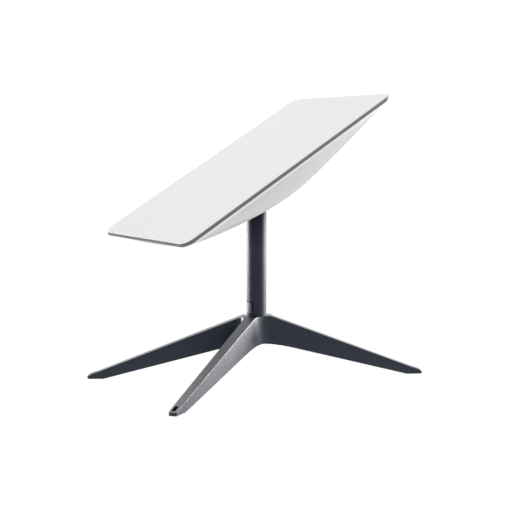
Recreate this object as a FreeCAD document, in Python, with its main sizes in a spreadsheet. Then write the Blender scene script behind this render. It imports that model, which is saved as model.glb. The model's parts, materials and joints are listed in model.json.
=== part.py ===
import FreeCAD, Part
import Sketcher
import math
import os
from FreeCAD import Placement, Rotation
from FreeCAD import Vector as V

# Flat-panel satellite terminal: a rectangular antenna head with a hull-shaped back,
# turning and tilting on a round mast that is latched into a four-legged base.
# Frame: +Z up, origin on the ground under the mast axis, panel's long side in the
# XZ plane with its low end towards -X. Millimetres.

doc = FreeCAD.newDocument("flat_panel_terminal")
sheet = doc.addObject("Spreadsheet::Sheet", "Sheet")

DIMENSIONS = [
    # antenna head
    ("panel_length", 513.0), ("panel_width", 303.0), ("corner_radius", 20.0),
    ("pivot_height", 368.0), ("rest_tilt", 30.0), ("face_level", 44.0),
    ("face_thickness", 2.4), ("band_low", 36.2), ("band_high", 43.4),
    ("band_step", 41.5), ("lip_inset", 4.0), ("lip_wall", 2.0),
    ("foam_low", 36.8), ("foam_high", 41.4), ("stack_inset", 7.5),
    ("board_low", 35.0), ("board_thick", 1.6), ("spreader_low", 32.0),
    ("spreader_thick", 1.6), ("chassis_low", 29.0), ("chassis_length", 220.0),
    ("chassis_width", 150.0), ("hull_plane", 38.2), ("hull_corner", 21.0), ("hull_depth", 77.4), ("hull_wall", 2.5),
    ("hull_power_long", 1.207), ("hull_power_fall", 0.576), ("hull_keel_round", 0.2), ("slot_half", 22.0),
    ("slot_ceiling", 22.0), ("slot_reach", 246.0), ("well_wall", 2.0),
    # mast
    ("mast_radius", 18.5), ("mast_bore", 16.5), ("mast_foot", 74.0),
    ("mast_top", 328.0), ("button_low", 122.0), ("button_high", 144.0),
    ("button_half", 9.5), ("button_gap", 0.8), ("button_travel", 2.5),
    # swivel and tilt drive
    ("head_radius", 18.4), ("head_low", 331.0), ("neck_radius", 12.0),
    ("neck_bore", 8.0), ("neck_low", 303.0), ("running_gap", 0.05),
    ("axle_radius", 5.0), ("tilt_module", 1.0), ("tilt_gear_teeth", 42.0),
    ("tilt_pinion_teeth", 14.0), ("turn_module", 0.6), ("ring_teeth", 42.0),
    ("turn_pinion_teeth", 14.0), ("gear_width", 6.0),
    # base
    ("leg_angle", 30.2), ("leg_reach", 320.5), ("heel_reach", 290.0),
    ("crest_height", 126.7), ("crest_slope", 0.3771), ("crest_round", 1.2),
    ("belly_height", 73.0), ("belly_slope", 0.2503), ("belly_flat", 67.0),
    ("belly_round", 405.0), ("leg_half", 19.6), ("leg_taper", 0.0365),
    ("leg_draft", 0.0703), ("toe_corner", 5.0), ("sole_level", 0.4),
    ("pad_thick", 1.4), ("web_radius", 46.0), ("crotch_radius", 13.0),
    ("socket_gap", 0.05), ("bolt_reach", 309.0), ("bolt_radius", 2.25),
    ("slot_long", 15.0), ("slot_wide", 7.2), ("slot_floor", 3.8), ("hub_top", 117.0),
]


class Q:
    """A number together with the sheet expression that gives it."""

    def __init__(self, value, text):
        self.v = float(value)
        self.s = text

    @staticmethod
    def of(x):
        if isinstance(x, Q):
            return x
        return Q(x, repr(float(x)) if x >= 0 else "(0-" + repr(abs(float(x))) + ")")

    def __add__(self, o):
        o = Q.of(o)
        return Q(self.v + o.v, "(" + self.s + "+" + o.s + ")")

    def __radd__(self, o):
        return Q.of(o) + self

    def __sub__(self, o):
        o = Q.of(o)
        return Q(self.v - o.v, "(" + self.s + "-" + o.s + ")")

    def __rsub__(self, o):
        return Q.of(o) - self

    def __mul__(self, o):
        o = Q.of(o)
        return Q(self.v * o.v, "(" + self.s + "*" + o.s + ")")

    def __rmul__(self, o):
        return Q.of(o) * self

    def __truediv__(self, o):
        o = Q.of(o)
        return Q(self.v / o.v, "(" + self.s + "/" + o.s + ")")

    def __neg__(self):
        return Q(-self.v, "(0-" + self.s + ")")


def val(x):
    return x.v if isinstance(x, Q) else float(x)


class Sizes:
    pass


D = Sizes()
for row, (alias, value) in enumerate(DIMENSIONS, start=1):
    sheet.set("A%d" % row, alias)
    sheet.set("B%d" % row, str(value))
    sheet.setAlias("B%d" % row, alias)
doc.recompute()
for alias, value in DIMENSIONS:
    setattr(D, alias, Q(sheet.get(alias), "Sheet." + alias))

NODES = []
WORLD = Placement()
PANEL = Placement(V(0, 0, D.pivot_height.v), Rotation(V(0, 1, 0), -D.rest_tilt.v))


def bind(obj, prop, x):
    if isinstance(x, Q):
        obj.setExpression(prop, x.s)


def node(obj, label, place=WORLD):
    obj.Label = label
    obj.Placement = place
    NODES.append(obj)
    return obj


# ---------------------------------------------------------------- Part primitives
def box(name, x0, x1, y0, y1, z0, z1):
    o = doc.addObject("Part::Box", name)
    for prop, a, b in (("Length", x0, x1), ("Width", y0, y1), ("Height", z0, z1)):
        d = Q.of(b) - Q.of(a)
        setattr(o, prop, d.v)
        bind(o, prop, d)
    o.Placement = Placement(V(val(x0), val(y0), val(z0)), Rotation())
    for prop, a in (("x", x0), ("y", y0), ("z", z0)):
        bind(o, "Placement.Base." + prop, a)
    return o


def cyl(name, r, lo, hi, x=0, y=0, axis="z", z=0):
    """Cylinder of radius r from lo to hi along axis; x, y (and z) place its centre line."""
    o = doc.addObject("Part::Cylinder", name)
    o.Radius = val(r)
    bind(o, "Radius", r)
    d = Q.of(hi) - Q.of(lo)
    o.Height = d.v
    bind(o, "Height", d)
    if axis == "z":
        o.Placement = Placement(V(val(x), val(y), val(lo)), Rotation())
        parts = (("x", x), ("y", y), ("z", lo))
    elif axis == "y":
        o.Placement = Placement(V(val(x), val(lo), val(z)), Rotation(V(1, 0, 0), -90))
        parts = (("x", x), ("y", lo), ("z", z))
    else:
        o.Placement = Placement(V(val(lo), val(y), val(z)), Rotation(V(0, 1, 0), 90))
        parts = (("x", lo), ("y", y), ("z", z))
    for prop, a in parts:
        bind(o, "Placement.Base." + prop, a)
    return o


def fuse(name, *objs):
    o = doc.addObject("Part::MultiFuse", name)
    o.Shapes = list(objs)
    return o


def common(name, *objs):
    o = doc.addObject("Part::MultiCommon", name)
    o.Shapes = list(objs)
    return o


def cut(name, base, *tools):
    tool = tools[0] if len(tools) == 1 else fuse(name + "_tools", *tools)
    o = doc.addObject("Part::Cut", name)
    o.Base = base
    o.Tool = tool
    return o


# ---------------------------------------------------------------- PartDesign helpers
def new_body(label, place=WORLD):
    b = doc.addObject("PartDesign::Body", "Body_" + label)
    node(b, label, place)
    return b


def sketch(b, name, role="XY_Plane", off=0):
    s = b.newObject("Sketcher::SketchObject", name)
    plane = [f for f in b.Origin.OriginFeatures if f.Role == role][0]
    s.AttachmentSupport = [(plane, "")]
    s.MapMode = "FlatFace"
    s.AttachmentOffset = Placement(V(0, 0, val(off)), Rotation())
    bind(s, "AttachmentOffset.Base.z", off)
    return s


def lock(s, g, pos, x, y):
    for kind, a in (("DistanceX", x), ("DistanceY", y)):
        i = s.addConstraint(Sketcher.Constraint(kind, g, pos, val(a)))
        bind(s, "Constraints[%d]" % i, a)


def circle(s, r, x=0, y=0):
    g = s.addGeometry(Part.Circle(V(val(x), val(y), 0), V(0, 0, 1), val(r)))
    i = s.addConstraint(Sketcher.Constraint("Radius", g, val(r)))
    bind(s, "Constraints[%d]" % i, r)
    if val(x) == 0 and val(y) == 0:
        s.addConstraint(Sketcher.Constraint("Coincident", g, 3, -1, 1))
    else:
        lock(s, g, 3, x, y)


def poly(s, pts, locked=True):
    n = len(pts)
    g = []
    for i in range(n):
        a, b = pts[i], pts[(i + 1) % n]
        g.append(s.addGeometry(Part.LineSegment(V(val(a[0]), val(a[1]), 0), V(val(b[0]), val(b[1]), 0))))
    for i in range(n):
        s.addConstraint(Sketcher.Constraint("Coincident", g[i], 2, g[(i + 1) % n], 1))
    if locked:
        for i in range(n):
            lock(s, g[i], 1, pts[i][0], pts[i][1])


def rect(s, x0, x1, y0, y1):
    poly(s, [(x0, y0), (x1, y0), (x1, y1), (x0, y1)])


def rrect(s, hx, hy, r):
    """Rounded rectangle centred on the sketch's origin: half sizes hx, hy, corner radius r."""
    hx, hy, r = Q.of(hx), Q.of(hy), Q.of(r)
    ax, ay = hx - r, hy - r
    ends = [((-ax, -hy), (ax, -hy)), ((hx, -ay), (hx, ay)), ((ax, hy), (-ax, hy)), ((-hx, ay), (-hx, -ay))]
    centres = [(ax, -ay, 270), (ax, ay, 0), (-ax, ay, 90), (-ax, -ay, 180)]
    lines, arcs = [], []
    for a, b in ends:
        lines.append(s.addGeometry(Part.LineSegment(V(a[0].v, a[1].v, 0), V(b[0].v, b[1].v, 0))))
    for x, y, start in centres:
        c = Part.Circle(V(x.v, y.v, 0), V(0, 0, 1), r.v)
        arcs.append(s.addGeometry(Part.ArcOfCircle(c, math.radians(start), math.radians(start + 90))))
    for i in range(4):
        s.addConstraint(Sketcher.Constraint("Coincident", lines[i], 2, arcs[i], 1))
        s.addConstraint(Sketcher.Constraint("Coincident", arcs[i], 2, lines[(i + 1) % 4], 1))
        lock(s, lines[i], 1, ends[i][0][0], ends[i][0][1])
        lock(s, lines[i], 2, ends[i][1][0], ends[i][1][1])
        k = s.addConstraint(Sketcher.Constraint("Radius", arcs[i], r.v))
        bind(s, "Constraints[%d]" % k, r)


def pad(b, s, length, name, midplane=False):
    p = b.newObject("PartDesign::Pad", name)
    p.Profile = s
    p.Length = val(length)
    bind(p, "Length", length)
    p.Midplane = midplane
    s.Visibility = False
    return p


def pocket(b, s, length, name, up=False):
    """Cuts length deep from the sketch plane, downwards unless up is set."""
    doc.recompute()
    before = b.Shape.Volume
    p = b.newObject("PartDesign::Pocket", name)
    p.Profile = s
    p.Length = val(length)
    bind(p, "Length", length)
    p.Reversed = bool(up)
    doc.recompute()
    if not p.Shape.Volume < before - 1e-6:
        raise RuntimeError("pocket %s of %s cut nothing" % (name, b.Label))
    return p


def round_upright(b, base, radius, name, level=None):
    """Fillets the upright corner edges of a pad."""
    doc.recompute()
    names = []
    for i, e in enumerate(base.Shape.Edges, start=1):
        if len(e.Vertexes) == 2:
            d = e.Vertexes[0].Point - e.Vertexes[1].Point
            if abs(d.x) < 1e-6 and abs(d.y) < 1e-6 and abs(d.z) > 0.1:
                names.append("Edge%d" % i)
    f = b.newObject("PartDesign::Fillet", name)
    f.Base = (base, names)
    f.Radius = val(radius)
    bind(f, "Radius", radius)
    return f


def rim_fillet(b, base, radius, z, name):
    """Rounds every edge that lies in the plane z of the body's own frame."""
    doc.recompute()
    names = []
    for i, e in enumerate(base.Shape.Edges, start=1):
        bb = e.BoundBox
        if abs(bb.ZMin - z) < 1e-6 and abs(bb.ZMax - z) < 1e-6:
            names.append("Edge%d" % i)
    f = b.newObject("PartDesign::Fillet", name)
    f.Base = (base, names)
    f.Radius = val(radius)
    bind(f, "Radius", radius)
    return f


def plate(label, length, width, lo, thick, radius, place=PANEL, u0=0, w0=0):
    """A rounded rectangular plate in a frame of its own, from lo upwards."""
    b = new_body(label, place)
    s = sketch(b, label + "_outline", off=lo)
    rect(s, u0 - length / 2, u0 + length / 2, w0 - width / 2, w0 + width / 2)
    p = pad(b, s, thick, label + "_sheet")
    if val(radius) > 0:
        p = round_upright(b, p, radius, label + "_corners")
    return b, p


# =============================================================== ANTENNA HEAD
L, W, RC = D.panel_length, D.panel_width, D.corner_radius

# radome cover: the flat white face with a locating lip under it
radome, p = plate("radome_cover", L - 2, W - 2, D.face_level - D.face_thickness, D.face_thickness, RC - 1)
p = rim_fillet(radome, p, 0.9, D.face_level.v, "radome_edge")
lip = sketch(radome, "radome_lip_outline", off=D.face_level - D.face_thickness)
rrect(lip, L / 2 - D.lip_inset, W / 2 - D.lip_inset, RC - D.lip_inset)
rrect(lip, L / 2 - D.lip_inset - D.lip_wall, W / 2 - D.lip_inset - D.lip_wall, RC - D.lip_inset - D.lip_wall)
p = pad(radome, lip, 3.2, "radome_lip")
p.Reversed = True

# rim band: the grey edge strip, stepped so that the cover's edge sits in it
band, p = plate("rim_band", L, W, D.band_low, D.band_high - D.band_low, RC)
p = rim_fillet(band, p, 0.7, D.band_high.v, "band_top_edge")
p = rim_fillet(band, p, 0.7, D.band_low.v, "band_low_edge")
s = sketch(band, "band_seat", off=D.band_high)
rrect(s, L / 2 - 0.95, W / 2 - 0.95, RC - 0.95)
pocket(band, s, D.band_high - D.band_step, "band_seat_cut")
s = sketch(band, "band_bore", off=D.band_step)
rrect(s, L / 2 - D.lip_inset + 0.1, W / 2 - D.lip_inset + 0.1, RC - D.lip_inset + 0.1)
pocket(band, s, D.band_step - D.band_low, "band_bore_cut")

# low-density spacer between the face and the patch array
plate("foam_spacer", L - 2 * D.stack_inset, W - 2 * D.stack_inset, D.foam_low, D.foam_high - D.foam_low, 13)

# patch-array circuit board, with a row of clearance holes for the shell screws
SCREWS = [(-170.0, -88.0), (-170.0, 88.0), (170.0, -88.0), (170.0, 88.0), (0.0, -118.0), (0.0, 118.0)]
plate("antenna_board", L - 2 * D.stack_inset - 4, W - 2 * D.stack_inset - 4, D.board_low, D.board_thick, 12)

# beam-forming chips on the back of the board: identical, one group
chips = new_body("beamformer_chips", PANEL)
s = sketch(chips, "chip_outline", off=D.board_low - 1.3)
for i in range(8):
    for j in range(4):
        cu, cw = -203.0 + 58.0 * i, -102.0 + 68.0 * j
        rect(s, cu - 7, cu + 7, cw - 7, cw + 7)
chips.AllowCompound = True
pad(chips, s, 1.2, "chip_bodies")

# aluminium heat spreader behind the chips, holed for the shell screws
spreader, p = plate("heat_spreader", L - 2 * D.stack_inset - 16, W - 2 * D.stack_inset - 16,
                    D.spreader_low, D.spreader_thick, 10)
s = sketch(spreader, "spreader_holes", off=D.spreader_low + D.spreader_thick)
for cu, cw in SCREWS:
    circle(s, 1.7, cu, cw)
pocket(spreader, s, D.spreader_thick, "spreader_hole_cut")

# chassis plate: carries the tilt bearings, the tilt motor and the control board
chassis, p = plate("chassis_plate", D.chassis_length, D.chassis_width, D.chassis_low,
                   D.spreader_low - D.chassis_low, 12)
s = sketch(chassis, "chassis_windows", off=D.spreader_low)
for sgn in (-1, 1):
    rect(s, sgn * 76.0 - 22, sgn * 76.0 + 22, -54, -12)
rect(s, -98, -54, 12, 54)
pocket(chassis, s, D.spreader_low - D.chassis_low, "chassis_window_cut")

# control board under the chassis plate, on the side away from the mast slot
plate("control_board", Q.of(90.0), Q.of(100.0), D.chassis_low - 6.0, 1.6, 3, u0=105.0, w0=-20.0)
cb = cut("control_modules_cut",
         fuse("control_modules_block",
              box("ctl_a", 68, 92, -62, -38, D.chassis_low - 4.4, D.chassis_low - 1.2),
              box("ctl_b", 102, 120, -62, -44, D.chassis_low - 4.4, D.chassis_low - 1.6),
              box("ctl_c", 70, 106, -14, 12, D.chassis_low - 4.4, D.chassis_low - 0.6),
              box("ctl_d", 118, 138, -22, 4, D.chassis_low - 4.4, D.chassis_low - 2.0)),
         box("ctl_e", 76, 100, -8, 6, D.chassis_low - 1.2, D.chassis_low))
node(cb, "control_modules", PANEL)
node(fuse("control_posts_all",
          *[cyl("post%d" % i, 3.0, D.chassis_low - 4.4, c, x=a, y=b)
            for i, (a, b, c) in enumerate([(65.5, -64.5, D.chassis_low), (65.5, 24.5, D.chassis_low),
                                           (144.5, -64.5, D.spreader_low), (144.5, 24.5, D.spreader_low)])]),
     "control_standoffs", PANEL)


# ------------------------------------------------------------- rear hull
def hull(depth, half_u, half_w, radius, top):
    """Solid pillow: elliptical across its width, a long boat-like curve along its length."""
    p, fall, e = D.hull_power_long.v, D.hull_power_fall.v, D.hull_keel_round.v
    span = (1 + e * e) ** (p / 2) - e ** p
    out = 0.5          # the curve runs this far past the walls, so that they cut it cleanly
    nu, nw = 41, 23
    rows = []
    for i in range(nu):
        psi = math.pi * (i / (nu - 1) - 0.5)
        s = math.sin(psi) ** 2
        x = math.sqrt(max((s * span + e ** p) ** (2 / p) - e * e, 0.0))
        u = math.copysign((half_u + out) * x, math.sin(psi))
        drop = 0.0 if i in (0, nu - 1) else math.cos(psi) ** (2.0 * fall)
        row = []
        for j in range(nw):
            phi = math.pi * (j / (nw - 1) - 0.5)
            c = 0.0 if j in (0, nw - 1) else math.cos(phi)
            row.append(V(u, (half_w + out) * math.sin(phi), top + 1.0 - (depth + 1.0) * drop * c))
        rows.append(row)
    surf = Part.BSplineSurface()
    surf.interpolate(rows)
    belly = surf.toShape()
    # stand the surface off a prism: everything between it and the rim plane
    tall = belly.extrude(V(0, 0, depth * 2.5))
    prism = Part.makeBox(2 * half_u, 2 * half_w, depth * 1.4, V(-half_u, -half_w, top - depth * 1.4))
    up = [e2 for e2 in prism.Edges if abs(e2.tangentAt(e2.FirstParameter).z) > 0.9]
    prism = prism.makeFillet(radius, up)
    return prism.common(tall)


top = D.hull_plane.v
hw_u, hw_w = D.panel_length.v / 2 - 1.0, D.panel_width.v / 2 - 1.0
wall = D.hull_wall.v
outer = hull(D.hull_depth.v, hw_u, hw_w, D.hull_corner.v, top)
inner = hull(D.hull_depth.v - wall, hw_u - wall, hw_w - wall, D.hull_corner.v - wall, top)
if len(outer.Solids) != 1 or len(inner.Solids) != 1:
    raise RuntimeError("hull did not close")
outer, inner = outer.Solids[0], inner.Solids[0]


def channel(half, ceiling, reach):
    b = Part.makeBox(reach + half + 1.0, 2 * half, 200, V(-reach, -half, ceiling - 200))
    up = [e for e in b.Edges if abs(e.tangentAt(e.FirstParameter).z) > 0.9 and e.Vertexes[0].Point.x > 0]
    return b.makeFillet(4.0, up)


def boss_at(u, w, r):
    return Part.makeCylinder(r, 100, V(u, w, D.spreader_low.v - 100))


shell = outer.cut(inner).cut(Part.makeBox(800, 800, 40, V(-400, -400, D.band_low.v)))
for cu, cw in SCREWS:
    post = boss_at(cu, cw, 4.5).common(outer)
    hole = Part.makeCylinder(1.55, 14, V(cu, cw, D.spreader_low.v - 14))
    shell = shell.fuse(post).cut(hole)
slot = channel(D.slot_half.v, D.slot_ceiling.v, D.slot_reach.v)
shell = shell.cut(slot)
shell = max(shell.Solids, key=lambda x: x.Volume)
o = doc.addObject("Part::Feature", "rear_shell_solid")
o.Shape = shell
node(o, "rear_shell", PANEL)

# mast well: the inner trough that closes the hull around the mast slot
ww = D.well_wall.v
inner_fit = hull(D.hull_depth.v - wall - 0.05, hw_u - wall - 0.05, hw_w - wall - 0.05,
                 D.hull_corner.v - wall, top).Solids[0]
well = channel(D.slot_half.v + ww, D.slot_ceiling.v + ww, D.slot_reach.v + ww).cut(slot).common(inner_fit)
well = well.cut(Part.makeCylinder(D.axle_radius.v + 0.6, 80, V(0, -40, 0), V(0, 1, 0)))
well = max(well.Solids, key=lambda x: x.Volume)
o = doc.addObject("Part::Feature", "mast_well_solid")
o.Shape = well
node(o, "mast_well", PANEL)

# shell screws, through the heat spreader into the hull's bosses
parts = []
for i, (cu, cw) in enumerate(SCREWS):
    parts.append(cyl("sscrew%d" % i, 1.5, D.spreader_low - 12, D.spreader_low + D.spreader_thick + 0.1, x=cu, y=cw))
    parts.append(cyl("shead%d" % i, 2.9, D.spreader_low + D.spreader_thick, D.board_low - 0.2, x=cu, y=cw))
node(fuse("shell_screws_all", *parts), "shell_screws", PANEL)

# tilt brackets: one each side of the mast well
for side, sgn in (("left", 1), ("right", -1)):
    lo, hi = (25.0, 31.0) if sgn > 0 else (-31.0, -25.0)
    fl, fh = (30.9, 46.0) if sgn > 0 else (-46.0, -30.9)
    if sgn > 0:
        fl, fh = 30.9, 42.0
    web = fuse("tb_web_" + side,
               box("tb_a_" + side, -16, 16, lo, hi, 0, D.chassis_low),
               cyl("tb_b_" + side, 16, lo, hi, axis="y"),
               box("tb_c_" + side, -26, 26, fl, fh, D.chassis_low - 4, D.chassis_low),
               box("tb_d_" + side, -26, 26, lo, hi, D.chassis_low - 4, D.chassis_low))
    node(cut("tb_cut_" + side, web, cyl("tb_bore_" + side, 7.05, -50, 50, axis="y")),
         "tilt_bracket_" + side, PANEL)

# flanged plain bushings that run on the axle
parts = []
for i, (a, b, c) in enumerate([(25.0, 32.0, 31.05), (-32.0, -25.0, -32.0)]):
    parts.append(cyl("bush%d" % i, 7.0, a, b, axis="y"))
    parts.append(cyl("flange%d" % i, 9.0, c, c + 0.95, axis="y"))
node(cut("bushings_cut", fuse("bushings_all", *parts),
         cyl("bush_bore", D.axle_radius + D.running_gap, -50, 50, axis="y")), "tilt_bushings", PANEL)

# bracket screws up into the chassis plate
parts = []
for i, (a, b) in enumerate([(-21, 36.5), (21, 36.5), (-21, -38.5), (21, -38.5)]):
    parts.append(cyl("bscrew%d" % i, 1.5, D.chassis_low - 4.2, D.chassis_low - 0.05, x=a, y=b))
    parts.append(cyl("bhead%d" % i, 2.8, D.chassis_low - 6.2, D.chassis_low - 4.05, x=a, y=b))
bracket_screw_tools = [cyl("bhole%d" % i, 1.5, D.chassis_low - 4.2, D.chassis_low, x=a, y=b)
                       for i, (a, b) in enumerate([(-21, 36.5), (21, 36.5), (-21, -38.5), (21, -38.5)])]
node(fuse("bracket_screws_all", *parts), "bracket_screws", PANEL)
for n in NODES:
    if n.Label.startswith("tilt_bracket_"):
        n.Tool = fuse(n.Name + "_tools", n.Tool, *[t for t in bracket_screw_tools
                                                   if (t.Placement.Base.y > 0) == n.Label.endswith("left")])

# tilt motor and its bracket
DRIVE_U = (D.tilt_gear_teeth + D.tilt_pinion_teeth) * D.tilt_module / 2
node(cut("motor_bracket_cut",
         fuse("motor_bracket_all",
              box("mb_a", DRIVE_U - 14, DRIVE_U + 14, 43.5, 46.0, -13, D.chassis_low),
              box("mb_b", DRIVE_U - 14, DRIVE_U + 14, 43.5, 62.0, D.chassis_low - 3, D.chassis_low)),
         cyl("mb_hole", 3.0, 40, 50, x=DRIVE_U, axis="y")), "tilt_motor_bracket", PANEL)
node(cut("tilt_motor_cut",
         fuse("tilt_motor_all",
              cyl("tm_can", 12.0, 46.0, 84.0, x=DRIVE_U, axis="y"),
              cyl("tm_cap", 9.0, 83.9, 88.0, x=DRIVE_U, axis="y"),
              box("tm_plug", DRIVE_U - 4, DRIVE_U + 4, 86.0, 92.0, -3.0, 3.0)),
         cyl("tm_bore", 1.5 + D.running_gap, 40, 66, x=DRIVE_U, axis="y")), "tilt_motor", PANEL)

# =============================================================== GEARS


def involute_point(rb, t):
    return rb * math.hypot(1.0, t), t - math.atan(t)


def flank(module, teeth, r_from, r_to, thickness, steps=7):
    """Polar points of one involute flank, half a tooth's angle from its centre line."""
    rp = module * teeth / 2
    rb = rp * math.cos(math.radians(20))
    inv_p = math.tan(math.radians(20)) - math.radians(20)
    half = thickness / (2 * rp)
    pts = []
    start = max(r_from, rb)
    if r_from < rb:
        pts.append((r_from, half + inv_p))
    for k in range(steps):
        r = start + (r_to - start) * k / (steps - 1)
        t = math.sqrt(max((r / rb) ** 2 - 1, 0.0))
        _, ang = involute_point(rb, t)
        pts.append((r, half + inv_p - ang))
    return pts


def polar(r, a):
    return (r * math.cos(a), r * math.sin(a))


def pattern(b, feature, count, name):
    p = b.newObject("PartDesign::PolarPattern", name)
    p.Originals = [feature]
    axis = [f for f in b.Origin.OriginFeatures if f.Role == "Z_Axis"][0]
    p.Axis = (axis, [""])
    p.Angle = 360
    p.Occurrences = int(round(val(count)))
    bind(p, "Occurrences", count)
    b.Tip = p
    doc.recompute()
    return p


def spur(label, module, teeth, width, place, bore=0, addendum=0.85, backlash=0.12, stub=None):
    b = new_body(label, place)
    rp = module.v * teeth.v / 2
    root = rp - 1.25 * module.v
    tip = rp + addendum * module.v
    s = sketch(b, label + "_disc")
    circle(s, module * teeth / 2 - 1.25 * module)
    if val(bore) > 0:
        circle(s, bore)
    pad(b, s, width, label + "_blank")
    th = math.pi * module.v / 2 - backlash
    fl = flank(module.v, teeth.v, root - 0.3 * module.v, tip, th)
    pts = [polar(r, -a) for r, a in fl] + [polar(r, a) for r, a in reversed(fl)]
    s = sketch(b, label + "_tooth")
    poly(s, pts, locked=False)
    t = pad(b, s, width, label + "_tooth_pad")
    pattern(b, t, teeth, label + "_teeth")
    if stub:
        r, lo, hi = stub
        s = sketch(b, label + "_shaft", off=lo)
        circle(s, r)
        pad(b, s, Q.of(hi) - Q.of(lo), label + "_shaft_pad")
    return b


RX = Placement(V(0, 0, 0), Rotation(V(1, 0, 0), -90))


def spin(deg):
    return Placement(V(0, 0, 0), Rotation(V(0, 0, 1), deg))


# tilt gear: keyed to the axle, so it belongs to the swivel head
spur("tilt_gear", D.tilt_module, D.tilt_gear_teeth, D.gear_width,
     Placement(V(0, 34.0, D.pivot_height.v), Rotation()) * RX * spin(-D.rest_tilt.v), bore=D.axle_radius + 0.02)
# tilt pinion on the motor shaft
spur("tilt_pinion", D.tilt_module, D.tilt_pinion_teeth, D.gear_width,
     PANEL * Placement(V(DRIVE_U.v, 34.0, 0), Rotation()) * RX * spin(180.0 / D.tilt_pinion_teeth.v),
     stub=(1.5, 0, 30.0))

# azimuth ring gear: internal teeth, screwed under the neck of the head
ring = new_body("azimuth_ring_gear", Placement(V(0, 0, 295.0), Rotation()))
s = sketch(ring, "ring_outline")
circle(s, 15.2)
circle(s, D.turn_module * D.ring_teeth / 2 - 0.6 * D.turn_module)
pad(ring, s, 6.0, "ring_blank")
s = sketch(ring, "ring_web_outline", off=6.0)
circle(s, 15.2)
circle(s, D.neck_bore)
pad(ring, s, D.neck_low - 301.0, "ring_web")
rp = D.turn_module.v * D.ring_teeth.v / 2
th = math.pi * D.turn_module.v / 2 + 0.08
fl = flank(D.turn_module.v, D.ring_teeth.v, rp - 0.62 * D.turn_module.v, rp + 1.1 * D.turn_module.v, th)
pts = [polar(r, -a) for r, a in fl] + [polar(r, a) for r, a in reversed(fl)]
s = sketch(ring, "ring_space", off=6.0)
poly(s, pts, locked=False)
t = pocket(ring, s, 6.0, "ring_space_cut")
pattern(ring, t, D.ring_teeth, "ring_spaces")

TURN_X = (D.ring_teeth - D.turn_pinion_teeth) * D.turn_module / 2
spur("azimuth_pinion", D.turn_module, D.turn_pinion_teeth, Q.of(4.6),
     Placement(V(TURN_X.v, 0, 295.9), Rotation()), backlash=0.08, stub=(1.0, -10.0, 0.0))

# =============================================================== SWIVEL HEAD
ph = D.pivot_height
head = fuse("head_all",
            common("head_dome",
                   cyl("hd_a", D.head_radius, D.head_low, ph + D.head_radius + 1),
                   fuse("hd_env", box("hd_b", -30, 30, -30, 30, D.head_low - 1, ph),
                        cyl("hd_c", D.head_radius, -30, 30, axis="y", z=ph))),
            cyl("hd_ear", 8.0, -21.4, 21.4, axis="y", z=ph),
            cyl("hd_neck", D.neck_radius, D.neck_low, D.head_low + 1))
node(cut("head_cut", head,
         cyl("hd_bore", D.neck_bore, D.neck_low - 1, ph - 15),
         cyl("hd_axle", D.axle_radius + 0.02, -40, 40, axis="y", z=ph),
         cyl("hd_exit", 4.0, ph - 28, ph + 30, x=-9.0),
         ), "swivel_head")

axle = new_body("tilt_axle", Placement(V(0, 0, D.pivot_height.v), Rotation()) * RX)
s = sketch(axle, "axle_section", off=-36.0)
circle(s, D.axle_radius)
p = pad(axle, s, 78.6, "axle_rod")
doc.recompute()
names = ["Edge%d" % i for i, e in enumerate(p.Shape.Edges, start=1) if len(e.Vertexes) == 1]
f = axle.newObject("PartDesign::Chamfer", "axle_ends")
f.Base = (p, names)
f.Size = 0.6

clips = cut("clips_cut",
            fuse("clips_all",
                 cyl("clip_a", 7.6, 40.6, 41.6, axis="y", z=ph),
                 cyl("clip_b", 7.6, -34.6, -33.6, axis="y", z=ph)),
            cyl("clip_bore", D.axle_radius, -50, 50, axis="y", z=ph))
node(clips, "axle_clips")

node(cut("rgs_cut", fuse("rgs_all",
                         *[cyl("rgs%d" % i, 0.9, 301.2, 309.0,
                               x=10.0 * math.cos(math.radians(a)), y=10.0 * math.sin(math.radians(a)))
                           for i, a in enumerate((60, 180, 300))]),
         box("rgs_never", 40, 41, 40, 41, 300, 301)), "ring_gear_screws")
screw_tool = fuse("rgs_holes", *[cyl("rgsh%d" % i, 0.9, 300.0, 309.0,
                                     x=10.0 * math.cos(math.radians(a)), y=10.0 * math.sin(math.radians(a)))
                                 for i, a in enumerate((60, 180, 300))])
for n in NODES:
    if n.Label == "swivel_head":
        n.Tool = fuse("head_tools_all", n.Tool, screw_tool)
s = sketch(ring, "ring_screw_holes", off=8.0)
for a in (60, 180, 300):
    circle(s, 0.92, 10.0 * math.cos(math.radians(a)), 10.0 * math.sin(math.radians(a)))
pocket(ring, s, 2.0, "ring_screw_hole_cut")

# =============================================================== MAST
mast = new_body("mast_tube")
s = sketch(mast, "mast_section", off=D.mast_foot)
circle(s, D.mast_radius)
circle(s, D.mast_bore)
pad(mast, s, D.mast_top - D.mast_foot, "mast_extrusion")
s = sketch(mast, "button_window", "YZ_Plane", off=-10.0)
rect(s, -D.button_half, D.button_half, D.button_low, D.button_high)
p = pocket(mast, s, 12.0, "button_window_cut")
s = sketch(mast, "latch_window", "YZ_Plane", off=-10.0)
rect(s, -5.6, 5.6, 85.4, 92.6)
p = pocket(mast, s, 12.0, "latch_window_cut")

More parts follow.
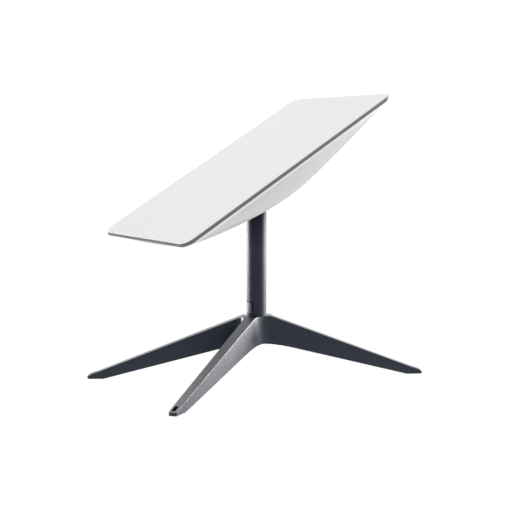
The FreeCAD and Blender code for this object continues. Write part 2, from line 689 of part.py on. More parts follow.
# plug in the foot of the mast, holding the connector and clearing the latch arm
node(cut("foot_plug_cut",
         cyl("fp_a", D.mast_bore - 0.05, D.mast_foot, 104.0),
         box("fp_b", -6.05, 10.05, -5.05, 5.05, D.mast_foot - 1, 105.0),
         box("fp_c", -20, -7.8, -6.0, 6.0, 84.0, 105.0),
         cyl("fp_d", 3.05, 98.0, 105.0, x=-3.0, y=9.5)), "mast_foot_plug")
node(cut("connector_cut",
         fuse("connector_all",
              box("cn_a", -6, 10, -5, 5, 78.0, 106.0),
              box("cn_b", -6, 10, -5, 5, 104.0, 107.5)),
         box("cn_c", -4.4, 8.4, -3.4, 3.4, 77.0, 96.0)), "connector_socket")
node(fuse("contacts_all",
          *[box("ct%d" % i, -3.2 + 1.5 * i, -2.6 + 1.5 * i, -0.3 + 1.2 * (i % 2) - 0.6, 0.3 + 1.2 * (i % 2) - 0.6, 84.0, 96.0)
            for i in range(8)]), "connector_contacts")

# latch carrier: a block across the bore that backs the button's spring
node(cut("carrier_cut",
         common("carrier_block", cyl("lc_a", D.mast_bore - 0.05, 116.0, 150.0),
                box("lc_b", -5.0, 3.0, -20, 20, 116.0, 150.0)),
         cyl("lc_c", 3.3, 110, 160, x=-3.0, y=9.5)), "latch_carrier")

# release button in its window, and the steel latch bolt that it carries
bz0, bz1 = D.button_low + D.button_gap, D.button_high - D.button_gap
by = D.button_half - D.button_gap
button = cut("button_cut",
             common("button_block", cyl("bt_a", D.mast_radius + 0.25, bz0, bz1),
                    box("bt_b", -19.5, -13.0, -by, by, bz0, bz1)),
             box("bt_c", -14.6, -12.9, -5.0, 5.0, 121.0, 128.0))
node(button, "release_button")
node(fuse("bolt_all",
          box("lb_a", -14.5, -12.5, -4.9, 4.9, 88.0, 127.9),
          box("lb_b", -20.0, -12.5, -4.9, 4.9, 86.0, 92.0)), "latch_bolt")

# button spring: a short coil along X between the button and the carrier
turns, mean, wire = 4.0, 2.9, 0.35
pitch = (7.8 - 2 * wire) / turns
helix = Part.makeHelix(pitch, pitch * turns, mean)
prof = Part.Wire(Part.makeCircle(wire, V(mean, 0, 0), V(0, 1, 0)))
coil = Part.Wire(helix.Edges).makePipeShell([prof], True, True)
o = doc.addObject("Part::Feature", "button_spring_solid")
o.Shape = coil
node(o, "button_spring", Placement(V(-12.9 + wire, 0, 134.5), Rotation(V(0, 1, 0), 90)))

# internal lead from the connector up to the azimuth drive
node(cyl("harness_rod", 3.0, 98.0, 289.8, x=-3.0, y=9.5), "mast_harness", Placement(V(-3.0, 9.5, 98.0), Rotation()))

# azimuth drive in the top of the mast
node(cut("motor_mount_cut", cyl("mm_a", D.mast_bore - 0.05, 290.0, 293.0),
         cyl("mm_b", 2.2, 280, 300, x=TURN_X),
         cyl("mm_c", 3.3, 280, 300, x=-3.0, y=9.5)), "azimuth_motor_mount")
node(cut("azimuth_motor_cut",
         fuse("azimuth_motor_all",
              cyl("am_a", 7.0, 256.0, 290.0, x=TURN_X),
              cyl("am_b", 5.0, 252.0, 256.1, x=TURN_X)),
         cyl("am_c", 1.0 + D.running_gap, 284.0, 300.0, x=TURN_X)), "azimuth_motor")

housing = new_body("azimuth_bearing_housing")
s = sketch(housing, "housing_sleeve", off=305.0)
circle(s, D.mast_bore - 0.05)
circle(s, 14.0)
pad(housing, s, D.mast_top - 305.0, "housing_sleeve_pad")
s = sketch(housing, "housing_flange", off=D.mast_top)
circle(s, D.mast_radius)
circle(s, 14.0)
pad(housing, s, 2.0, "housing_flange_pad")

node(cut("azb_cut",
         fuse("azb_all", cyl("azb_a", 13.95, 306.0, 315.0), cyl("azb_b", 13.95, 320.0, 329.9)),
         cyl("azb_c", D.neck_radius + D.running_gap, 300, 340)), "azimuth_bushings")

washer = new_body("thrust_washer")
s = sketch(washer, "washer_section", off=D.mast_top + 2.0)
circle(s, 17.4)
circle(s, D.neck_radius + 0.3)
pad(washer, s, 0.7, "washer_disc")

# =============================================================== BASE
cr, sl = D.crest_height.v, D.crest_slope.v
heel, reach = D.heel_reach.v, D.leg_reach.v
sole, pad_top = D.sole_level.v, D.pad_thick.v
ANGLES = [D.leg_angle.v, -D.leg_angle.v, 180 - D.leg_angle.v, 180 + D.leg_angle.v]


def turned(shape, deg):
    c = shape.copy()
    c.rotate(V(0, 0, 0), V(0, 0, 1), deg)
    return c


def block_over(point, normal):
    """Large block standing on the plane through point, on the side the normal points to."""
    k = Part.makeBox(1600, 1600, 600, V(-800, -800, 0))
    k.Placement = Placement(point, Rotation(V(0, 0, 1), normal))
    return k


def half_space(alpha, z0, slope, above):
    """Block bounded by the plane z = z0 - slope * r taken along the direction alpha."""
    sign = 1.0 if above else -1.0
    return turned(block_over(V(0, 0, z0), V(sign * slope, 0, sign)), alpha)


def leg_prism(r0, r1, z0, z1, wall):
    """Straight leg with two flat drafted sides, its walls moved inwards by wall."""
    k = Part.makeBox(r1 - r0, 80, z1 - z0, V(r0, -40, z0))
    for side in (-1, 1):
        k = k.cut(block_over(V(0, side * (D.leg_half.v - wall), 0), V(D.leg_taper.v, side, D.leg_draft.v)))
    return k


# four legs at full height, then the concave webs between them
one = leg_prism(0.0, reach, -6.0, 150.0, 0.0)
ends = [e for e in one.Edges if len(e.Vertexes) == 2 and
        all(abs(v.Point.x - reach) < 0.01 for v in e.Vertexes) and
        abs(e.Vertexes[0].Point.z - e.Vertexes[1].Point.z) > 100]
one = one.makeFillet(D.toe_corner.v, ends)
casting = turned(one, ANGLES[0])
for a in ANGLES[1:]:
    casting = casting.fuse(turned(one, a))
casting = casting.removeSplitter()
for radius, across in ((D.web_radius.v, "y"), (D.crotch_radius.v, "x")):
    inner_edges = []
    for e in casting.Edges:
        if len(e.Vertexes) != 2:
            continue
        p, q = e.Vertexes[0].Point, e.Vertexes[1].Point
        if abs(p.z - q.z) < 100:
            continue
        if across == "y" and max(abs(p.x), abs(q.x)) < 0.01 and max(abs(p.y), abs(q.y)) < 60:
            inner_edges.append(e)
        if across == "x" and max(abs(p.y), abs(q.y)) < 0.01 and max(abs(p.x), abs(q.x)) < 90:
            inner_edges.append(e)
    if len(inner_edges) != 2:
        raise RuntimeError("web edges %s: %d" % (across, len(inner_edges)))
    casting = casting.makeFillet(radius, inner_edges)

# sloping crests, and the underside: level at the hub, then straight down to the heels
for a in ANGLES:
    casting = casting.common(half_space(a, cr, sl, False))
fall = math.atan(D.belly_slope.v)
meet = (D.belly_height.v - D.belly_flat.v) / D.belly_slope.v
reach_in = D.belly_round.v * math.tan(fall / 2)
start = V(meet - reach_in, 0, D.belly_flat.v)
stop = V(meet + reach_in * math.cos(fall), 0, D.belly_flat.v - reach_in * math.sin(fall))
middle = V(start.x + D.belly_round.v * math.sin(fall / 2), 0,
           D.belly_flat.v - D.belly_round.v * (1 - math.cos(fall / 2)))
foot = V((D.belly_height.v - sole) / D.belly_slope.v, 0, sole)
outline = Part.Wire([
    Part.LineSegment(V(-500, 0, D.belly_flat.v), start).toShape(),
    Part.Arc(start, middle, stop).toShape(),
    Part.LineSegment(stop, foot).toShape(),
    Part.LineSegment(foot, V(500, 0, sole)).toShape(),
    Part.LineSegment(V(500, 0, sole), V(500, 0, -60)).toShape(),
    Part.LineSegment(V(500, 0, -60), V(-500, 0, -60)).toShape(),
    Part.LineSegment(V(-500, 0, -60), V(-500, 0, D.belly_flat.v)).toShape()])
under = Part.Face(outline).extrude(V(0, 1200, 0))
under.translate(V(0, -600, 0))
tool = turned(under, ANGLES[0])
for a in ANGLES[1:]:
    tool = tool.common(turned(under, a))
casting = casting.cut(tool)
casting = casting.cut(Part.makeCylinder(90, 60, V(0, 0, D.hub_top.v)))
if not casting.isValid() or len(casting.Solids) != 1:
    raise RuntimeError("the base casting did not close")

# soften the crest edges
crest = []
for e in casting.Edges:
    if len(e.Vertexes) != 2:
        continue
    on = True
    for v in e.Vertexes:
        q = v.Point
        off = min(abs(q.z - (cr - sl * (q.x * math.cos(math.radians(a)) + q.y * math.sin(math.radians(a)))))
                  for a in ANGLES)
        if min(off, abs(q.z - D.hub_top.v)) > 0.05:
            on = False
    if on:
        crest.append(e)
casting = casting.makeFillet(D.crest_round.v, crest)
if not casting.isValid():
    raise RuntimeError("crest fillet")

# socket for the mast, ledge under it and the cable passage
casting = casting.cut(Part.makeCylinder(D.mast_radius.v + D.socket_gap.v, 200, V(0, 0, D.mast_foot.v)))
casting = casting.cut(Part.makeCylinder(13.0, 200, V(0, 0, -50)))
# pocket that the latch bolt drops into
casting = casting.cut(Part.makeBox(6.0, 10.6, 7.2, V(-21.5, -5.3, 85.4)))

# channel under every leg, open below, closed before the toe
trough = leg_prism(34.0, 268.0, -20.0, 140.0, 3.6).common(half_space(0.0, cr - 5.0, sl, False))
# toes: a long recess and a round bolt hole, and a shallow seat for the rubber sole
half_run = (D.slot_long.v - D.slot_wide.v) / 2
recess = Part.makeBox(2 * half_run, D.slot_wide.v, 40, V(D.bolt_reach.v - half_run, -D.slot_wide.v / 2, D.slot_floor.v))
for k in (-1, 1):
    recess = recess.fuse(Part.makeCylinder(D.slot_wide.v / 2, 40, V(D.bolt_reach.v + k * half_run, 0, D.slot_floor.v)))
bolt = Part.makeCylinder(D.bolt_radius.v, 40, V(D.bolt_reach.v, 0, -5))


def sole_shape(low, high, grow):
    h = 4.6 + grow
    k = Part.makeBox(17.4, 2 * h, high - low, V(296.4, -h, low))
    return k.fuse(Part.makeCylinder(h, high - low, V(313.8, 0, low))).fuse(
        Part.makeCylinder(h, high - low, V(296.4, 0, low)))


for a in ANGLES:
    for part_tool in (trough, recess, bolt, sole_shape(-3.0, pad_top, 0.1)):
        casting = casting.cut(turned(part_tool, a))
casting = max(casting.Solids, key=lambda x: x.Volume)
o = doc.addObject("Part::Feature", "base_casting_solid")
o.Shape = casting
node(o, "base_casting")

# foot pads: rubber soles let into the toes, holed for the bolts
soles = [turned(sole_shape(0.0, pad_top, 0.0).cut(bolt), a) for a in ANGLES]
o = doc.addObject("Part::Feature", "foot_pads_solid")
o.Shape = Part.makeCompound(soles)
node(o, "foot_pads")

# =============================================================== CHECK AND WRITE
doc.recompute()
bad = []
for o in doc.Objects:
    if "Invalid" in o.State or "Error" in o.State:
        bad.append("%s (%s): %s" % (o.Name, o.Label, ",".join(o.State)))
for n in NODES:
    sh = n.Shape
    if sh.isNull() or not sh.isValid() or not sh.Solids:
        bad.append("%s: null, invalid or without a solid" % n.Label)
if bad:
    raise RuntimeError("; ".join(bad))
labels = [n.Label for n in NODES]
if len(set(labels)) != len(labels):
    raise RuntimeError("a label is used twice")
os.makedirs("parts", exist_ok=True)
for old in os.listdir("parts"):
    if old.endswith(".step") and old[:-5] not in labels:
        os.remove(os.path.join("parts", old))
for n in NODES:
    n.Shape.exportStep(os.path.join("parts", n.Label + ".step"))
    bb = n.Shape.BoundBox
    print("%-26s solids %2d  volume %9.0f  box %.1f..%.1f %.1f..%.1f %.1f..%.1f" % (
        n.Label, len(n.Shape.Solids), n.Shape.Volume, bb.XMin, bb.XMax, bb.YMin, bb.YMax, bb.ZMin, bb.ZMax))
print(len(NODES), "nodes")
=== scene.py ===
import json
import math
import bpy
import bmesh
from mathutils import Vector, Matrix

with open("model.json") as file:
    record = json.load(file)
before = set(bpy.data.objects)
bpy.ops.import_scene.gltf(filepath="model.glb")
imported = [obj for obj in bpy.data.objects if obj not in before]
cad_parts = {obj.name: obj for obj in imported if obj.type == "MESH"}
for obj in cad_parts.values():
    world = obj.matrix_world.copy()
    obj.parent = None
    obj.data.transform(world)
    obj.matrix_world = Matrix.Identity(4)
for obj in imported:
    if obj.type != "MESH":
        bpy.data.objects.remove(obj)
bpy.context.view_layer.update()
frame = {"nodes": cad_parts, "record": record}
scene = bpy.context.scene
scene.view_settings.view_transform = "Standard"
scene.view_settings.look = "None"
scene.view_settings.exposure = 0.0
scene.view_settings.gamma = 1.0

# ------------------------------------------------------------------ camera
cam_data = bpy.data.cameras.new("camera")
cam_data.sensor_width = 36.0
cam_data.lens = 69.72
cam_data.clip_end = 100.0
cam = bpy.data.objects.new("camera", cam_data)
scene.collection.objects.link(cam)
look = Vector((0.5599, 0.8210, -0.1111)).normalized()
cam.location = (-1.0498, -1.5377, 0.4383)
cam.rotation_euler = look.to_track_quat("-Z", "Y").to_euler()
scene.camera = cam


# ------------------------------------------------------------------ materials
def srgb(r, g, b):
    def f(c):
        c = c / 255.0
        return c / 12.92 if c <= 0.04045 else ((c + 0.055) / 1.055) ** 2.4
    return (f(r), f(g), f(b), 1.0)


class Mat:
    """Small helper for building procedural node materials."""

    def __init__(self, name):
        self.m = bpy.data.materials.new(name)
        self.m.use_nodes = True
        self.t = self.m.node_tree
        self.t.nodes.clear()
        self.out = self.t.nodes.new("ShaderNodeOutputMaterial")
        self.b = self.t.nodes.new("ShaderNodeBsdfPrincipled")
        self.t.links.new(self.b.outputs[0], self.out.inputs[0])
        self.tc = self.t.nodes.new("ShaderNodeTexCoord")

    def node(self, kind, **props):
        n = self.t.nodes.new(kind)
        for k, v in props.items():
            setattr(n, k, v)
        return n

    def link(self, a, b):
        self.t.links.new(a, b)

    def noise(self, scale, detail=4.0, rough=0.55, stretch=None):
        n = self.node("ShaderNodeTexNoise")
        n.inputs["Scale"].default_value = scale
        n.inputs["Detail"].default_value = detail
        n.inputs["Roughness"].default_value = rough
        if stretch:
            mp = self.node("ShaderNodeMapping")
            mp.inputs["Scale"].default_value = stretch
            self.link(self.tc.outputs["Object"], mp.inputs[0])
            self.link(mp.outputs[0], n.inputs[0])
        else:
            self.link(self.tc.outputs["Object"], n.inputs[0])
        return n.outputs[0]

    def ramp(self, fac, stops):
        r = self.node("ShaderNodeValToRGB")
        el = r.color_ramp.elements
        el[0].position, el[0].color = stops[0]
        el[1].position, el[1].color = stops[-1]
        for p, c in stops[1:-1]:
            e = el.new(p)
            e.color = c
        self.link(fac, r.inputs[0])
        return r.outputs[0]

    def span(self, fac, lo, hi, a=0.3, b=0.7):
        r = self.node("ShaderNodeMapRange")
        r.inputs["From Min"].default_value = a
        r.inputs["From Max"].default_value = b
        r.inputs["To Min"].default_value = lo
        r.inputs["To Max"].default_value = hi
        self.link(fac, r.inputs[0])
        return r.outputs[0]

    def mix(self, fac, a, b, blend="MIX"):
        n = self.node("ShaderNodeMix", data_type="RGBA", blend_type=blend)
        if isinstance(fac, float):
            n.inputs[0].default_value = fac
        else:
            self.link(fac, n.inputs[0])
        for s, v in ((n.inputs[6], a), (n.inputs[7], b)):
            if isinstance(v, tuple):
                s.default_value = v
            else:
                self.link(v, s)
        return n.outputs[2]

    def bump(self, height, strength, distance, chain=None):
        n = self.node("ShaderNodeBump")
        n.inputs["Strength"].default_value = strength
        n.inputs["Distance"].default_value = distance
        self.link(height, n.inputs["Height"])
        if chain is not None:
            self.link(chain, n.inputs["Normal"])
        return n.outputs[0]

    def edges(self, lo=0.505, hi=0.56):
        g = self.node("ShaderNodeNewGeometry")
        r = self.node("ShaderNodeMapRange")
        r.inputs["From Min"].default_value = lo
        r.inputs["From Max"].default_value = hi
        self.link(g.outputs["Pointiness"], r.inputs[0])
        return r.outputs[0]

    def set(self, **kw):
        for k, v in kw.items():
            s = self.b.inputs[k.replace("_", " ")]
            if hasattr(v, "is_output") or isinstance(v, bpy.types.NodeSocket):
                self.link(v, s)
            else:
                s.default_value = v


def shade(c, k):
    return (min(c[0] * k, 1), min(c[1] * k, 1), min(c[2] * k, 1), 1.0)


def plastic(name, base, rough=0.45, grain=900.0, depth=0.00004, var=0.04, spec=0.5, coat=0.0, mottle=9.0):
    """Moulded plastic: slight mottling, a fine moulded grain and uneven gloss."""
    k = Mat(name)
    n1 = k.noise(mottle, 3.0)
    k.set(Base_Color=k.ramp(n1, [(0.3, shade(base, 1 - var)), (0.7, shade(base, 1 + var))]))
    n2 = k.noise(grain, 2.0)
    k.set(Roughness=k.span(k.noise(35.0, 4.0), rough - 0.05, rough + 0.06))
    k.set(Normal=k.bump(n2, 0.35, depth))
    k.b.inputs["Specular IOR Level"].default_value = spec
    k.b.inputs["Coat Weight"].default_value = coat
    return k.m


def coated(name, base, light, rough=0.42, grain=1400.0, depth=0.00006, spec=0.5, var=0.07, worn=True, hull_shade_range=None, toe_highlight=None, button_gap_shadow=False):
    """Powder coat: fine orange peel, flecks, and lighter, more polished edges."""
    k = Mat(name)
    n1 = k.noise(14.0, 5.0)
    col = k.ramp(n1, [(0.3, shade(base, 1 - var)), (0.7, shade(base, 1 + var))])
    fleck = k.noise(2600.0, 1.0)
    col = k.mix(k.span(fleck, 0.0, 0.35, 0.62, 0.75), col, light)
    if worn:
        col = k.mix(k.edges(0.56, 0.72), col, light)
    gloss = spec
    if hull_shade_range:
        # painted shade: darker, duller coat towards the top of the tube, where it sits under the hull
        sep = k.node("ShaderNodeSeparateXYZ")
        k.link(k.tc.outputs["Object"], sep.inputs[0])
        hull_shade = k.span(sep.outputs[2], 0.0, 1.0, hull_shade_range[0], hull_shade_range[1])
        col = k.mix(hull_shade, col, shade(base, 0.45))
        gloss = k.span(hull_shade, spec, spec * 0.25, 0.0, 1.0)
    if button_gap_shadow:
        # painted shadow: dark, dull line in the gap round the release button's window
        pos = k.node("ShaderNodeSeparateXYZ")
        k.link(k.tc.outputs["Object"], pos.inputs[0])
        gaps = []
        for axis, mid, half_size in ((1, 0.0, 0.0095), (2, 0.133, 0.011)):
            shift = k.node("ShaderNodeMath", operation="SUBTRACT")
            k.link(pos.outputs[axis], shift.inputs[0])
            shift.inputs[1].default_value = mid
            size = k.node("ShaderNodeMath", operation="ABSOLUTE")
            k.link(shift.outputs[0], size.inputs[0])
            over = k.node("ShaderNodeMath", operation="SUBTRACT")
            k.link(size.outputs[0], over.inputs[0])
            over.inputs[1].default_value = half_size
            gaps.append(over)
        outer = k.node("ShaderNodeMath", operation="MAXIMUM")
        k.link(gaps[0].outputs[0], outer.inputs[0])
        k.link(gaps[1].outputs[0], outer.inputs[1])
        gap_shadow_line = k.node("ShaderNodeMath", operation="MULTIPLY")
        k.link(k.span(outer.outputs[0], 1.0, 0.0, 0.0008, 0.0014), gap_shadow_line.inputs[0])
        k.link(k.span(pos.outputs[0], 1.0, 0.0, -0.002, 0.0), gap_shadow_line.inputs[1])
        col = k.mix(gap_shadow_line.outputs[0], col, srgb(9, 10, 13))
        dull = k.node("ShaderNodeMath", operation="MULTIPLY")
        if isinstance(gloss, float):
            dull.inputs[0].default_value = gloss
        else:
            k.link(gloss, dull.inputs[0])
        k.link(k.span(gap_shadow_line.outputs[0], 1.0, 0.1, 0.0, 1.0), dull.inputs[1])
        gloss = dull.outputs[0]
    if toe_highlight:
        # painted highlight: the upward faces are made lighter towards the toes
        geo = k.node("ShaderNodeNewGeometry")
        up = k.node("ShaderNodeSeparateXYZ")
        k.link(geo.outputs["Normal"], up.inputs[0])
        flat = k.node("ShaderNodeVectorMath", operation="MULTIPLY")
        k.link(k.tc.outputs["Object"], flat.inputs[0])
        flat.inputs[1].default_value = (1, 1, 0)
        far = k.node("ShaderNodeVectorMath", operation="LENGTH")
        k.link(flat.outputs[0], far.inputs[0])
        toe_highlight_weight = k.node("ShaderNodeMath", operation="MULTIPLY")
        k.link(k.span(up.outputs[2], 0.0, 1.0, 0.55, 0.9), toe_highlight_weight.inputs[0])
        k.link(k.span(far.outputs["Value"], 0.0, 1.0, 0.13, 0.34), toe_highlight_weight.inputs[1])
        toe_highlight_mask = k.node("ShaderNodeMath", operation="MULTIPLY")
        k.link(toe_highlight_weight.outputs[0], toe_highlight_mask.inputs[0])
        k.link(k.span(k.noise(90.0, 6.0, 0.6), 0.75, 1.0), toe_highlight_mask.inputs[1])
        col = k.mix(toe_highlight_mask.outputs[0], col, toe_highlight)
    k.set(Base_Color=col)
    k.set(Roughness=k.span(k.noise(60.0, 5.0), rough - 0.01, rough + 0.015))
    peel = k.bump(k.noise(420.0, 2.0), 0.015, 0.00005)
    k.set(Normal=k.bump(k.noise(grain, 2.0), 0.02, depth * 0.5, peel))
    k.set(Specular_IOR_Level=gloss)
    return k.m


def moulding(name, base, rough, grain, depth, var, spec):
    """Moulded hull: as the plastic, with painted shade where it faces the ground and a painted highlight
    along its shoulder.
    """
    k = Mat(name)
    geo = k.node("ShaderNodeNewGeometry")
    sep = k.node("ShaderNodeSeparateXYZ")
    k.link(geo.outputs["Normal"], sep.inputs[0])
    # painted shade: darker where the surface faces the ground
    underside_shade = k.span(sep.outputs[2], 1.0, 0.0, -0.98, -0.72)
    col = k.ramp(k.noise(9.0, 3.0), [(0.3, shade(base, 1 - var)), (0.7, shade(base, 1 + var))])
    col = k.mix(underside_shade, col, shade(base, 0.68))
    # painted highlight: a near-white band along the shoulder where the hull meets the edge strip
    n = k.node("ShaderNodeVectorMath", operation="DOT_PRODUCT")
    k.link(k.tc.outputs["Object"], n.inputs[0])
    n.inputs[1].default_value = (-0.5, 0.0, 0.8660254)
    top = 0.8660254 * 0.368 + 0.0362
    col = k.mix(k.span(n.outputs["Value"], 0.0, 1.0, top - 0.0055, top - 0.0005), col, srgb(246, 246, 246))
    k.set(Base_Color=col)
    k.set(Roughness=k.span(k.noise(35.0, 4.0), rough - 0.05, rough + 0.06))
    k.set(Normal=k.bump(k.noise(grain, 2.0), 0.35, depth))
    k.b.inputs["Specular IOR Level"].default_value = spec
    return k.m


def metal(name, base, rough=0.3, stretch=(1, 1, 1), scale=300.0, var=0.12):
    k = Mat(name)
    n1 = k.noise(scale, 5.0, 0.6, stretch)
    k.set(Base_Color=k.ramp(n1, [(0.3, shade(base, 1 - var)), (0.7, shade(base, 1 + var))]))
    k.set(Roughness=k.span(k.noise(scale * 0.4, 5.0, 0.6, stretch), rough - 0.08, rough + 0.1))
    k.set(Normal=k.bump(n1, 0.25, 0.00003))
    k.b.inputs["Metallic"].default_value = 1.0
    return k.m


def circuit(name):
    k = Mat(name)
    br = k.node("ShaderNodeTexVoronoi", feature="DISTANCE_TO_EDGE")
    br.inputs["Scale"].default_value = 260.0
    k.link(k.tc.outputs["Object"], br.inputs["Vector"])
    traces = k.span(br.outputs["Distance"], 1.0, 0.0, 0.02, 0.06)
    base = k.ramp(k.noise(50.0), [(0.3, srgb(16, 66, 34)), (0.7, srgb(22, 84, 44))])
    k.set(Base_Color=k.mix(traces, base, srgb(42, 120, 66)))
    k.set(Roughness=k.span(k.noise(90.0), 0.3, 0.45))
    k.set(Normal=k.bump(traces, 0.4, 0.00004))
    return k.m


def height_above(k):
    """Height in the antenna head's own frame, measured square to its face."""
    n = k.node("ShaderNodeVectorMath", operation="DOT_PRODUCT")
    k.link(k.tc.outputs["Object"], n.inputs[0])
    n.inputs[1].default_value = (-0.5, 0.0, 0.8660254)
    m = k.node("ShaderNodeMath", operation="SUBTRACT")
    k.link(n.outputs["Value"], m.inputs[0])
    m.inputs[1].default_value = 0.8660254 * 0.368
    return m.outputs[0]


def edge_strip(name, grey, light):
    """Moulded edge strip: grey, with painted highlights as thin white lines along its lower and upper
    edges.
    """
    k = Mat(name)
    h = height_above(k)
    col = k.ramp(k.noise(9.0, 3.0), [(0.3, shade(grey, 0.95)), (0.7, shade(grey, 1.05))])
    # painted highlights: thin near-white lines along the lower and upper edges of the grey strip
    col = k.mix(k.span(h, 1.0, 0.0, 0.0369, 0.0373), col, light)
    col = k.mix(k.span(h, 0.0, 1.0, 0.0430, 0.0433), col, light)
    k.set(Base_Color=col)
    k.set(Roughness=k.span(k.noise(35.0, 4.0), 0.46, 0.56))
    k.set(Normal=k.bump(k.noise(1200.0, 2.0), 0.35, 0.00004))
    k.b.inputs["Specular IOR Level"].default_value = 0.1
    return k.m


def face(name, base, rim_highlight):
    """Satin radome face, with a painted highlight: lighter on the rounding round its rim."""
    k = Mat(name)
    col = k.ramp(k.noise(9.0, 3.0), [(0.3, shade(base, 0.988)), (0.7, shade(base, 1.012))])
    col = k.mix(k.span(height_above(k), 1.0, 0.0, 0.0438, 0.04398), col, rim_highlight)
    k.set(Base_Color=col)
    k.set(Roughness=k.span(k.noise(35.0, 4.0), 0.5, 0.61))
    k.set(Normal=k.bump(k.noise(1600.0, 2.0), 0.35, 0.00003))
    k.b.inputs["Specular IOR Level"].default_value = 0.1
    return k.m


WHITE = srgb(249, 248, 246)
SHELL = srgb(211, 211, 210)
SLATE = srgb(28, 36, 54)
SLATE_HI = srgb(86, 90, 100)
MATS = {
    # face_plastic: painted highlight round the rim of the face
    "face_plastic": face("face_plastic", WHITE, srgb(254, 254, 254)),
    # band_plastic: painted highlights as white lines along both edges of the strip
    "band_plastic": edge_strip("band_plastic", srgb(115, 115, 117), srgb(243, 243, 242)),
    "foam": plastic("foam", srgb(228, 226, 214), 0.85, 500.0, 0.0002, 0.05, 0.2),
    "circuit_board": circuit("circuit_board"),
    "chip_black": plastic("chip_black", srgb(34, 34, 36), 0.4, 900.0, 0.00004, 0.08),
    "aluminium_sheet": metal("aluminium_sheet", srgb(205, 206, 208), 0.35, (1, 18, 1), 160.0),
    "brass_hex": metal("brass_hex", srgb(206, 174, 110), 0.28),
    # shell_plastic: painted highlight along the hull's shoulder under the edge strip
    # shell_plastic: painted shade where the hull faces the ground
    "shell_plastic": moulding("shell_plastic", SHELL, 0.5, 1500.0, 0.00003, 0.012, 0.22),
    "dark_plastic": plastic("dark_plastic", srgb(46, 49, 56), 0.5, 900.0, 0.00006, 0.08),
    "steel_zinc": metal("steel_zinc", srgb(188, 190, 192), 0.3),
    "cast_metal": metal("cast_metal", srgb(112, 114, 118), 0.8, (1, 1, 1), 420.0, 0.08),
    "bushing_bronze": metal("bushing_bronze", srgb(120, 96, 62), 0.7, (1, 1, 1), 500.0),
    "motor_steel": metal("motor_steel", srgb(176, 178, 182), 0.33, (30, 30, 1), 60.0),
    "gear_steel": metal("gear_steel", srgb(184, 185, 188), 0.3),
    # slate_paint: painted shade towards the top of the mast, under the hull
    # slate_paint: painted shadow line round the release button's window
    "slate_paint": coated("slate_paint", srgb(44, 49, 62), srgb(52, 58, 74), 0.46, worn=False, hull_shade_range=(0.24, 0.315), spec=0.15, button_gap_shadow=True),
    # slate_cast: painted highlight on the upward faces towards the toes
    "slate_cast": coated("slate_cast", SLATE, srgb(60, 66, 80), 0.36, spec=0.42, toe_highlight=srgb(140, 141, 143)),
    "button_plastic": plastic("button_plastic", srgb(54, 58, 68), 0.42, 900.0, 0.00004, 0.05, 0.3),
    "contact_gold": metal("contact_gold", srgb(228, 196, 118), 0.2),
    "spring_steel": metal("spring_steel", srgb(180, 180, 182), 0.25),
    "cable_jacket": plastic("cable_jacket", srgb(34, 34, 36), 0.6, 700.0, 0.00005, 0.08),
    "pad_rubber": plastic("pad_rubber", srgb(38, 38, 40), 0.75, 700.0, 0.0001, 0.1, 0.3),
}
slots = {s["node"]: s["material_slot"] for s in frame["record"]["subparts"]}
for name, obj in frame["nodes"].items():
    m = MATS[slots[name]]
    if not obj.material_slots:
        obj.data.materials.append(m)
    for s in obj.material_slots:
        s.material = m

# ------------------------------------------------------------------ stage
bm = bmesh.new()
bmesh.ops.create_grid(bm, x_segments=8, y_segments=8, size=14.0)
me = bpy.data.meshes.new("floor")
bm.to_mesh(me)
bm.free()
floor = bpy.data.objects.new("floor", me)
scene.collection.objects.link(floor)
k = Mat("floor_white")
k.set(Base_Color=k.ramp(k.noise(1.5), [(0.3, (0.055, 0.055, 0.055, 1)), (0.7, (0.065, 0.065, 0.065, 1))]))
k.b.inputs["Roughness"].default_value = 0.9
k.b.inputs["Specular IOR Level"].default_value = 0.0
k.b.inputs["Emission Color"].default_value = (1, 1, 1, 1)
k.b.inputs["Emission Strength"].default_value = 0.97
floor.data.materials.append(k.m)


# ------------------------------------------------------------------ light
def area(name, loc, target, size, power, colour=(1, 1, 1)):
    d = bpy.data.lights.new(name, "AREA")
    d.shape = "RECTANGLE"
    d.size, d.size_y = size
    d.energy = power
    d.color = colour
    o = bpy.data.objects.new(name, d)
    scene.collection.objects.link(o)
    o.location = loc
    o.rotation_euler = (Vector(target) - Vector(loc)).to_track_quat("-Z", "Y").to_euler()
    return o


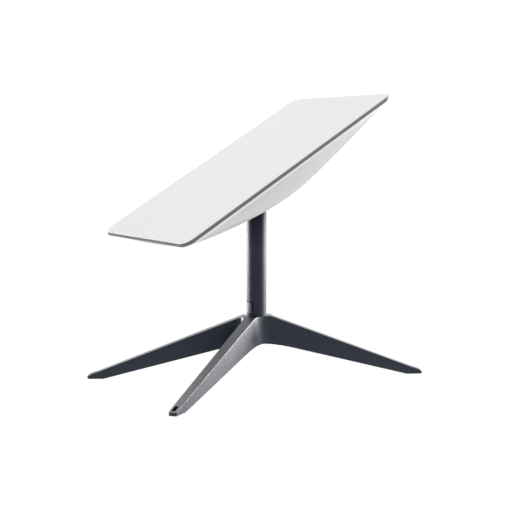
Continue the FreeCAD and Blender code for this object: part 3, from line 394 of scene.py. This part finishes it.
# narrow reflectors: they only show as soft highlights along the painted metal
for name, loc, target, size, power in (
        ("strip_right", (2.6, -0.3, 0.6), (0, 0, 0.15), (1.5, 1.3), 275),
        ("strip_front_right", (2.3, -1.2, 0.5), (0, 0, 0.15), (1.8, 1.0), 34),
        ("strip_left", (-1.1, 2.3, 0.22), (0, 0, 0.2), (2.2, 0.4), 155),
        ("back_top", (0.9, 2.0, 1.6), (-0.2, -0.1, 0.05), (1.6, 1.2), 6)):
    o = area(name, loc, target, size, power)
    o.visible_camera = False
    o.visible_diffuse = False

# studio wall: dim behind the camera, brighter above and behind the object
world = bpy.data.worlds.new("studio")
scene.world = world
world.use_nodes = True
nt = world.node_tree
nt.nodes.clear()
wo = nt.nodes.new("ShaderNodeOutputWorld")
bg = nt.nodes.new("ShaderNodeBackground")
nt.links.new(bg.outputs[0], wo.inputs[0])
wc = nt.nodes.new("ShaderNodeTexCoord")
dot = nt.nodes.new("ShaderNodeVectorMath")
dot.operation = "DOT_PRODUCT"
nt.links.new(wc.outputs["Generated"], dot.inputs[0])
dot.inputs[1].default_value = Vector((0.5, 0.55, 0.67)).normalized()
wr = nt.nodes.new("ShaderNodeValToRGB")
half = nt.nodes.new("ShaderNodeMapRange")
half.inputs["From Min"].default_value = -1.0
half.inputs["From Max"].default_value = 1.0
nt.links.new(dot.outputs["Value"], half.inputs[0])
nt.links.new(half.outputs[0], wr.inputs[0])
wr.color_ramp.interpolation = "B_SPLINE"
TOP = 1.7
levels = [(0.0, 0.26), (0.35, 0.28), (0.55, 0.56), (0.72, 1.02), (0.84, 1.2), (1.0, 1.5)]
el = wr.color_ramp.elements
el[0].position, el[0].color = levels[0][0], (levels[0][1] / TOP,) * 3 + (1.0,)
el[1].position, el[1].color = levels[-1][0], (levels[-1][1] / TOP,) * 3 + (1.0,)
for p, v in levels[1:-1]:
    el.new(p).color = (v / TOP,) * 3 + (1.0,)
nt.links.new(wr.outputs[0], bg.inputs[0])
bg.inputs[1].default_value = TOP
